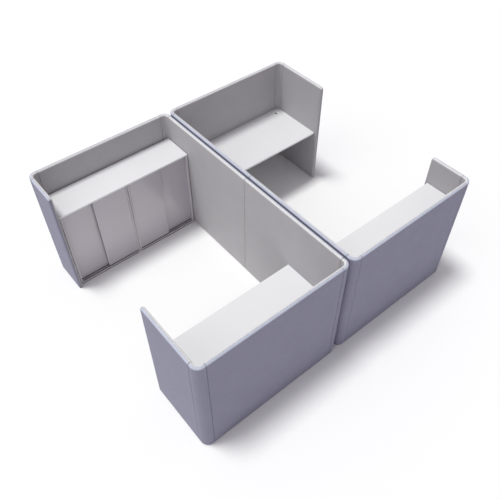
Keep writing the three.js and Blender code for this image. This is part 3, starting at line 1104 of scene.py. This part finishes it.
@dataclass(frozen=True)
class CabinetRun:
    """Two carcasses with a common top board, and their shelves, tracks and feet."""

    bay: Bay
    carcasses: int = 2
    foot_height: float = 6 * MM
    foot_radius: float = 9 * MM
    foot_inset: float = 45 * MM
    track_width: float = 8 * MM
    track_depth: float = 5 * MM
    lip: float = 1.2 * MM
    lip_rise: float = 0.5 * MM
    strip_wall: float = 0.6 * MM
    strip_play: float = 1 * MM
    joint: float = 3 * MM
    side_edge: float = 1.5 * MM
    top_edge: float = 1.2 * MM
    bottom_edge: float = 1 * MM
    back_edge: float = 0.6 * MM
    plinth_setback: float = 2 * MM
    plinth_depth: float = 12 * MM
    pin_radius: float = 2.5 * MM
    pin_length: float = 9 * MM
    pin_inset: float = 40 * MM

    def build(self) -> None:
        """Builds the top board and each carcass."""
        maker = Maker(self.bay)
        top = self.bay.span("cabinet_top")
        maker.board("cabinet_top", top, self.top_edge, WHITE_BOARD)
        for number in range(1, self.carcasses + 1):
            self._sides(maker, number)
            self._bottom(maker, number)
            self._back_and_shelf(maker, number)

    def _sides(self, maker: Maker, number: int) -> None:
        """Builds the two sides of a carcass with their feet; their outer faces leave an open joint."""
        for hand in ("left", "right"):
            node = f"cabinet_{number}_{hand}_side"
            span = self.bay.span(node)
            outward = Vector((self.joint, 0, 0))
            low = Vector((span.low.x, span.low.y, self.foot_height))
            if hand == "left":
                panel = Span(low + outward, span.high)
            else:
                panel = Span(low, span.high - outward)
            maker.board(node, panel, self.side_edge, GREY_BOARD)
            feet = Draft()
            r = self.foot_radius
            profile = [(r - 1.5 * MM, 0), (r, 0.6 * MM), (r, self.foot_height)]
            for y in (span.low.y + self.foot_inset, span.high.y - self.foot_inset):
                feet.disc_stack((span.centre.x, y, 0), profile, 24)
            maker.piece(f"{node}_feet", feet, [Look.BLACK_PLASTIC])

    def _lanes(self, number: int) -> list[float]:
        """Y of the middle of the front and the rear door lane of a carcass."""
        doors = [self.bay.span(f"door_{2 * number - 1 + i}").centre.y for i in range(2)]
        return sorted(doors)

    def _bottom(self, maker: Maker, number: int) -> None:
        """Builds a carcass bottom with two track grooves and the track strips in them."""
        node = f"cabinet_{number}_bottom"
        span = self.bay.span(node)
        edge, half, lanes = self.bottom_edge, self.track_width / 2, self._lanes(number)
        top, floor = span.high.z, span.high.z - self.track_depth
        profile = [(span.high.y, top), (span.high.y, span.low.z)]
        profile += arc((span.low.y + edge, span.low.z + edge), edge, 270, 180, 3)
        profile += arc((span.low.y + edge, top - edge), edge, 180, 90, 3)
        for y in lanes:
            profile += [(y - half, top), (y - half, floor), (y + half, floor), (y + half, top)]
        draft = bar(profile, span.low.x, span.high.x)
        piece = maker.piece(f"{node}_board", draft, GREY_BOARD, [node])
        for face in piece.data.polygons:
            face.material_index = int((self.bay.turn @ face.center).y < span.low.y + edge)
        self._plinth(maker, number, span)
        ceiling = self.bay.span("cabinet_top").low.z
        strips = []
        for level, up in ((top, 1), (ceiling, -1)):
            strips += [self._track(y, level, span.low.x, span.high.x, up) for y in lanes]
        maker.piece(f"cabinet_{number}_tracks", join(*strips), [Look.TRACK])

    def _plinth(self, maker: Maker, number: int, bottom: Span) -> None:
        """Adds the dark strip between the floor and a carcass bottom: partly a base trim, partly painted
        shadow of the gap under the carcass.
        """
        # Set just behind the bottom board's front so its black shows under the rail as a painted shadow
        # line where the gap's shade falls.
        front = bottom.low.y + self.plinth_setback
        low = Vector((bottom.low.x + self.strip_play, front, 0))
        high = Vector((bottom.high.x - self.strip_play, front + self.plinth_depth, bottom.low.z))
        maker.piece(f"cabinet_{number}_plinth", board(Span(low, high)), [Look.BLACK_PLASTIC])

    def _track(self, y: float, level: float, start: float, end: float, up: int) -> Draft:
        """A U-shaped track strip with two lips that stand just proud of the board.

        Args:
            y: middle of the lane.
            level: height of the board's surface.
            start: first X.
            end: last X.
            up: 1 for the lower track, -1 for the upper one.
        """
        wall, rise, hair = self.strip_wall, self.lip_rise, 0.05 * MM
        wide = self.track_width / 2 + self.lip
        narrow = self.track_width / 2 - 2 * hair
        floor = -self.track_depth + 3 * hair
        right = [(narrow - wall, floor + wall), (narrow - wall, rise), (wide, rise)]
        right += [(wide, hair), (narrow, hair), (narrow, floor)]
        left = [(-a, b) for a, b in reversed(right)]
        outline = [(y + a, level + up * b) for a, b in right + left]
        return bar(outline, start + self.strip_play, end - self.strip_play)

    def _back_and_shelf(self, maker: Maker, number: int) -> None:
        """Builds the back board, the shelf and the pins that carry the shelf."""
        back = f"cabinet_{number}_back"
        maker.board(back, self.bay.span(back), self.back_edge, GREY_BOARD)
        shelf = f"cabinet_{number}_shelf"
        span = self.bay.span(shelf)
        maker.board(shelf, span, self.bottom_edge, GREY_BOARD)
        pins = Draft()
        radius, length = self.pin_radius, self.pin_length
        shape = ((0.3 * MM, 0.8), (1 * MM, 1), (length, 1), (length + 0.6 * MM, 0.7))
        level = span.low.z - radius - 0.2 * MM
        for x, out in ((span.low.x, 1), (span.high.x, -1)):
            for y in (span.low.y + self.pin_inset, span.high.y - self.pin_inset):
                rings = []
                for reach, share in shape:
                    ring = arc((y, level), radius * share, 0, 360 - 22.5, 15)
                    rings.append([(x + out * reach, a, b) for a, b in ring])
                pins.loft(rings)
        maker.piece(f"{shelf}_pins", pins, [Look.ZINC])


@dataclass(frozen=True)
class SlidingDoor:
    """A door board with the guides that slide in the lower and the upper track."""

    bay: Bay
    number: int
    edge: float = 1.6 * MM
    side_gap: float = 1 * MM
    floor_gap: float = 18 * MM
    top_gap: float = 1.5 * MM
    guide_inset: float = 1.5 * MM
    guide_width: float = 5.2 * MM
    guide_round: float = 2.4 * MM
    overlap: float = 0.2 * MM

    def build(self) -> None:
        """Builds the board and its two guides, riding on the door's own body."""
        maker = Maker(self.bay)
        node = f"door_{self.number}"
        body = self.bay.node(node)
        span = self.bay.span(node)
        low, high = self._levels()
        inset = Vector((self.side_gap, 0, 0))
        first = Vector((span.low.x, span.low.y, low)) + inset
        last = Vector((span.high.x, span.high.y, high)) - inset
        maker.board(node, Span(first, last), self.edge, DOOR_BOARD, body)
        reaches = ((span.low.z, low + self.overlap), (high - self.overlap, span.high.z))
        guides = join(*[self._guide(span, z0, z1) for z0, z1 in reaches])
        maker.piece(f"{node}_guides", guides, [Look.BLACK_PLASTIC], (), body)

    def _levels(self) -> Pair:
        """Lower and upper edge of the door board."""
        carcass = (self.number + 1) // 2
        bottom = self.bay.span(f"cabinet_{carcass}_bottom").high.z
        top = self.bay.span("cabinet_top").low.z
        return bottom + self.floor_gap, top - self.top_gap

    def _guide(self, span: Span, z0: float, z1: float) -> Draft:
        """One guide: a slim strip along the door's edge, with rounded ends."""
        half = self.guide_width / 2
        low = (span.low.x + self.guide_inset, span.centre.y - half)
        high = (span.high.x - self.guide_inset, span.centre.y + half)
        outline = rounded_outline(low, high, self.guide_round, 4)
        draft = Draft()
        draft.loft([[(a, b, z) for a, b in outline] for z in (z0, z1)])
        return draft


# ---- desk and grommet ----


@dataclass(frozen=True)
class Desk:
    """The desk top with its rounded front edge, and the screws of its support angles."""

    bay: Bay
    front_radius: float = 6 * MM
    front_corner: float = 2 * MM
    rear_radius: float = 34 * MM
    edge: float = 1 * MM
    hole_radius: float = 31 * MM
    hole_steps: int = 64
    hole_overcut: float = 10 * MM
    face_slope: float = 0.7
    steel: float = 3 * MM
    screw_inset: float = 60 * MM
    screw_reach: float = 25 * MM
    screw_rise: float = 14 * MM
    screw_sink: float = 0.3 * MM
    screws_per_leg: int = 3

    def build(self) -> None:
        """Builds the top, dresses the angles and sets their screws."""
        maker = Maker(self.bay)
        self._top(maker)
        self._angles(maker)

    def _top(self, maker: Maker) -> None:
        """Lofts the top from its plan and cuts the grommet hole through it."""
        span = self.bay.span("desk_top")
        draft = Draft()
        rings = []
        for depth in self._depths(span.size.z):
            rise = span.low.z + depth
            rim = min(depth, span.size.z - depth)
            rings.append([(x, y, rise) for x, y in self._plan(span, rim)])
        draft.loft(rings)
        piece = maker.piece(
            "desk_top_board", draft, [Look.WHITE_FACE, Look.WHITE_EDGE], ["desk_top"], smooth_below=25
        )
        self._cut_hole(piece)
        for face in piece.data.polygons:
            face.material_index = int(abs(face.normal.z) < self.face_slope)

    def _depths(self, thickness: float) -> list[float]:
        """Heights above the underside at which the rounded rims have rings."""
        angles = [math.radians(a) for a in (0, 15, 30, 45, 60, 75, 90)]
        rim = {round(r * (1 - math.cos(a)), 6) for r in (self.edge, self.front_radius) for a in angles}
        return sorted(rim | {round(thickness - depth, 6) for depth in rim})

    def _plan(self, span: Span, rim: float) -> Outline:
        """Outline of the top, drawn in near its rims.

        Args:
            span: the top's box.
            rim: distance from the nearer of its two faces.

        Returns:
            The outline, anticlockwise from the rear left corner.
        """
        side = self._drawn_in(rim, self.edge)
        front = span.high.y - self._drawn_in(rim, self.front_radius)
        left, right, rear = span.low.x + side, span.high.x - side, span.low.y + side
        round_rear = self.rear_radius - side
        small = self.front_corner
        outline = arc((left + round_rear, rear + round_rear), round_rear, 180, 270, 10)
        outline += arc((right - round_rear, rear + round_rear), round_rear, 270, 360, 10)
        outline += arc((right - small, front - small), small, 0, 90, 4)
        return outline + arc((left + small, front - small), small, 90, 180, 4)

    @staticmethod
    def _drawn_in(rim: float, radius: float) -> float:
        """How far a rounded edge is drawn in at a distance from the face."""
        reach = max(0.0, radius - rim)
        return radius - math.sqrt(radius**2 - reach**2)

    def _cut_hole(self, top: bpy.types.Object) -> None:
        """Cuts the round grommet hole through the finished top."""
        ring = self.bay.span("grommet_ring")
        cutter = Draft()
        levels = (ring.low.z - self.hole_overcut, ring.high.z + self.hole_overcut)
        profile = [(self.hole_radius, z) for z in levels]
        cutter.disc_stack((ring.centre.x, ring.centre.y, 0), profile, self.hole_steps)
        mesh = bpy.data.meshes.new("hole_cutter")
        mesh.from_pydata([self.bay.turn @ p for p in cutter.points], [], cutter.faces)
        tool = bpy.data.objects.new("hole_cutter", mesh)
        bpy.context.scene.collection.objects.link(tool)
        cut = top.modifiers.new("grommet_hole", "BOOLEAN")
        cut.operation = "DIFFERENCE"
        cut.solver = "EXACT"
        cut.object = tool
        bpy.context.view_layer.update()
        finished = top.evaluated_get(bpy.context.evaluated_depsgraph_get())
        result = bpy.data.meshes.new_from_object(finished)
        top.modifiers.remove(cut)
        top.data = result
        bpy.data.objects.remove(tool)

    def _angles(self, maker: Maker) -> None:
        """Powder-coats the two steel angles and puts screws through both legs of each."""
        top = self.bay.span("desk_top")
        for name, out in (("desk_angle_wing", 1), ("desk_angle_back", -1)):
            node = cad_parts[self.bay.node(name)]
            node.data.materials.clear()
            node.data.materials.append(Look.STEEL.material())
            span = self.bay.span(name)
            wall = span.low.x if out > 0 else span.high.x
            across = wall + out * self.screw_reach
            under = top.low.z - self.steel - self.screw_sink
            draft = Draft()
            gap = (span.size.y - 2 * self.screw_inset) / (self.screws_per_leg - 1)
            for i in range(self.screws_per_leg):
                y = span.low.y + self.screw_inset + i * gap
                up = self._screw(Vector((across, y, under)), Vector((0, 0, -1)))
                side = Vector((wall + out * self.steel, y, span.low.z + self.screw_rise))
                draft = join(draft, up, self._screw(side, Vector((out, 0, 0))))
            maker.piece(f"{name}_screws", draft, [Look.ZINC])

    @staticmethod
    def _screw(foot: Vector, out: Vector) -> Draft:
        """A pan-head screw whose head stands on a surface, with a hexagonal socket."""
        draft = Draft()
        profile = [(0.05, 4.6), (0.4, 4.9), (1.4, 4.8), (2.2, 4.2), (2.9, 3.0), (3.1, 2.0)]
        socket = [(3.1, 1.9), (1.6, 1.8)]
        turn = Vector((0, 0, 1)).rotation_difference(out).to_matrix()
        rings = []
        for height, radius in profile:
            plan = arc((0, 0), radius, 0, 345, 23)
            rings.append([foot + turn @ Vector((x * MM, y * MM, height * MM)) for x, y in plan])
        for height, radius in socket:
            ring = []
            for step in range(24):
                angle = math.radians(step * 15)
                flat = radius / math.cos((angle + math.pi / 6) % (math.pi / 3) - math.pi / 6)
                x, y = flat * math.cos(angle), flat * math.sin(angle)
                ring.append(foot + turn @ Vector((x * MM, y * MM, height * MM)))
            rings.append(ring)
        draft.loft(rings)
        return draft


@dataclass(frozen=True)
class CableGrommet:
    """Flanged sleeve in the desk top and its turning cap with a half-moon outlet."""

    bay: Bay
    bore: float = 27.5 * MM
    sleeve: float = 30.5 * MM
    moon: float = 25 * MM
    chord: float = 3 * MM
    round_over: float = 1 * MM
    fine_edge: float = 0.6 * MM
    dome: float = 2.4 * MM
    cap_play: float = 0.5 * MM
    cap_edge: float = 0.5 * MM
    seat_play: float = 0.3 * MM
    flange_play: float = 0.2 * MM
    steps: int = 72

    def build(self) -> None:
        """Builds the sleeve and the cap."""
        maker = Maker(self.bay)
        self._sleeve(maker)
        self._cap(maker)

    def _sleeve(self, maker: Maker) -> None:
        """Turns the sleeve with a domed flange and a seat for the cap."""
        ring = self.bay.span("grommet_ring")
        cap = self.bay.span("grommet_cap")
        seat_radius = cap.size.x / 2 + self.cap_play
        flange = ring.size.x / 2
        top = ring.high.z
        bottom = ring.low.z
        under = self.bay.span("desk_top").high.z + self.flange_play
        seat = cap.low.z - self.seat_play
        r, fine, dome = self.round_over, self.fine_edge, self.dome
        profile = [(self.bore, bottom + fine), (self.bore + fine, bottom)]
        profile += [(self.sleeve - fine, bottom), (self.sleeve, bottom + fine), (self.sleeve, under)]
        profile += [(flange - 0.4 * MM, under), (flange, under + 0.5 * MM)]
        profile += arc((flange - dome, top - dome), dome, 10, 90, 5)
        profile += arc((seat_radius + fine, top - fine), fine, 90, 180, 3)
        profile += [(seat_radius, seat), (self.bore + r, seat)]
        profile += arc((self.bore + r, seat - r), r, 90, 180, 3)[1:]
        draft = Draft()
        draft.turned((ring.centre.x, ring.centre.y, 0), profile, self.steps)
        looks = [Look.WHITE_PLASTIC, Look.BLACK_PLASTIC]
        piece = maker.piece("grommet_sleeve", draft, looks, ["grommet_ring"])
        for face in piece.data.polygons:
            offset = self.bay.turn @ face.center - ring.centre
            face.material_index = int(offset.xy.length < self.bore + 0.8 * MM)

    def _cap(self, maker: Maker) -> None:
        """Builds the cap plate round its half-moon outlet, with softened rims."""
        span = self.bay.span("grommet_cap")
        radius = span.size.x / 2
        reach = math.degrees(math.acos(self.chord / self.moon))
        centre = span.centre
        draft = Draft()
        soft, count = self.cap_edge, self.steps
        low, high = span.low.z, span.high.z
        levels = [(soft, low), (0, low + soft), (0, high - soft), (soft, high)]
        points, faces = [], []
        for inset, z in levels:
            for x, y in self._moon_outline(reach, inset, count):
                points.append((centre.x + x, centre.y + y, z))
            for x, y in arc((0, 0), radius - inset, 0, 360 - 360 / count, count - 1):
                points.append((centre.x + x, centre.y + y, z))
        stride = 2 * count
        for level in range(len(levels) - 1):
            for loop in (0, count):
                for i in range(count):
                    j = (i + 1) % count
                    a, b = level * stride + loop, (level + 1) * stride + loop
                    faces.append((a + i, a + j, b + j, b + i))
        for level in (0, len(levels) - 1):
            for i in range(count):
                j = (i + 1) % count
                a = level * stride
                faces.append((a + i, a + j, a + count + j, a + count + i))
        draft.add(points, faces)
        body = self.bay.node("grommet_cap")
        maker.piece("grommet_cap_plate", draft, [Look.WHITE_PLASTIC], ["grommet_cap"], body)

    def _moon_outline(self, reach: float, inset: float, count: int) -> Outline:
        """Outline of the half-moon outlet, with one point per point of the cap's rim.

        Args:
            reach: half the angle of its arc, in degrees.
            inset: how much the outlet is widened at this level.
            count: number of points.
        """
        radius = self.moon + inset
        chord = self.chord - inset
        tip = radius * math.sin(math.radians(reach))
        outline = []
        for i in range(count):
            angle = 360 * i / count
            turned = (angle + 180) % 360 - 180
            if abs(turned) <= reach:
                around = math.radians(turned)
                outline.append((radius * math.cos(around), radius * math.sin(around)))
            else:
                share = (abs(turned) - reach) / (180 - reach)
                outline.append((chord, math.copysign(tip * (1 - share), turned)))
        return outline


# ---- studio ----


@dataclass(frozen=True)
class SoftLight:
    """A distant lamp: the wider its spread, the softer its shadows. Angles are in degrees."""

    name: str
    tilt: float
    bearing: float
    strength: float
    spread: float
    colour: Colour = (1.0, 1.0, 1.0)

    def build(self) -> None:
        """Hangs the lamp, tilted from overhead towards its bearing."""
        lamp = bpy.data.lights.new(self.name, "SUN")
        lamp.energy = self.strength
        lamp.color = self.colour
        lamp.angle = math.radians(self.spread)
        light = bpy.data.objects.new(self.name, lamp)
        bearing, tilt = math.radians(self.bearing), math.radians(self.tilt)
        level = math.sin(tilt)
        source = Vector((math.cos(bearing) * level, math.sin(bearing) * level, math.cos(tilt)))
        light.rotation_euler = source.to_track_quat("Z", "Y").to_euler()
        bpy.context.scene.collection.objects.link(light)


@dataclass(frozen=True)
class Studio:
    """Pale floor, an overhead key light, a wide fill light, a white surround, and the camera."""

    floor_size: float = 60.0
    lights: tuple[SoftLight, ...] = (
        SoftLight("key", 13.6, 135.0, 2.12, 14.0, (1.0, 1.015, 0.99)),
        SoftLight("fill", 50.0, 180.0, 0.40, 50.0),
    )
    surround: float = 0.4
    surround_colour: Colour = (1.0, 0.955, 1.025)
    camera_place: Point = (-2.7703, -3.4216, 5.2848)
    camera_bearing: float = 39.200
    camera_pitch: float = 48.579
    camera_roll: float = -0.2095
    lens: float = 41.608
    sensor: float = 36.0

    def build(self) -> None:
        """Builds the whole studio."""
        self._floor()
        for light in self.lights:
            light.build()
        self._surround()
        self._camera()
        bpy.context.scene.view_settings.view_transform = "Standard"

    def _floor(self) -> None:
        """Lays the floor."""
        half = self.floor_size / 2
        mesh = bpy.data.meshes.new("floor")
        corners = [(-half, -half, 0), (half, -half, 0), (half, half, 0), (-half, half, 0)]
        mesh.from_pydata(corners, [], [(0, 1, 2, 3)])
        mesh.materials.append(StudioFloor().material())
        floor = bpy.data.objects.new("floor", mesh)
        bpy.context.scene.collection.objects.link(floor)

    def _surround(self) -> None:
        """Surrounds the scene with even white light."""
        world = bpy.data.worlds.new("surround")
        world.use_nodes = True
        background = world.node_tree.nodes["Background"]
        background.inputs["Color"].default_value = (*self.surround_colour, 1)
        background.inputs["Strength"].default_value = self.surround
        bpy.context.scene.world = world

    def _camera(self) -> None:
        """Stands the camera where it looks down on the pair from the first bay's desk end."""
        data = bpy.data.cameras.new("camera")
        data.lens = self.lens
        data.sensor_width = self.sensor
        camera = bpy.data.objects.new("camera", data)
        camera.location = self.camera_place
        look = Matrix.Rotation(math.radians(-self.camera_bearing), 4, "Z")
        look = look @ Matrix.Rotation(math.radians(90 - self.camera_pitch), 4, "X")
        look = look @ Matrix.Rotation(math.radians(self.camera_roll), 4, "Z")
        camera.rotation_euler = look.to_euler()
        bpy.context.scene.collection.objects.link(camera)
        bpy.context.scene.camera = camera


# ---- the whole carrel ----


def main() -> None:
    """Builds the studio and both bays."""
    logging.basicConfig(level=logging.INFO, format="%(name)s: %(message)s")
    Studio().build()
    for bay in Bay:
        Screen(bay).build()
        CabinetRun(bay).build()
        for number in range(1, 5):
            SlidingDoor(bay, number).build()
        Desk(bay).build()
        CableGrommet(bay).build()


if __name__ == "__main__":
    main()
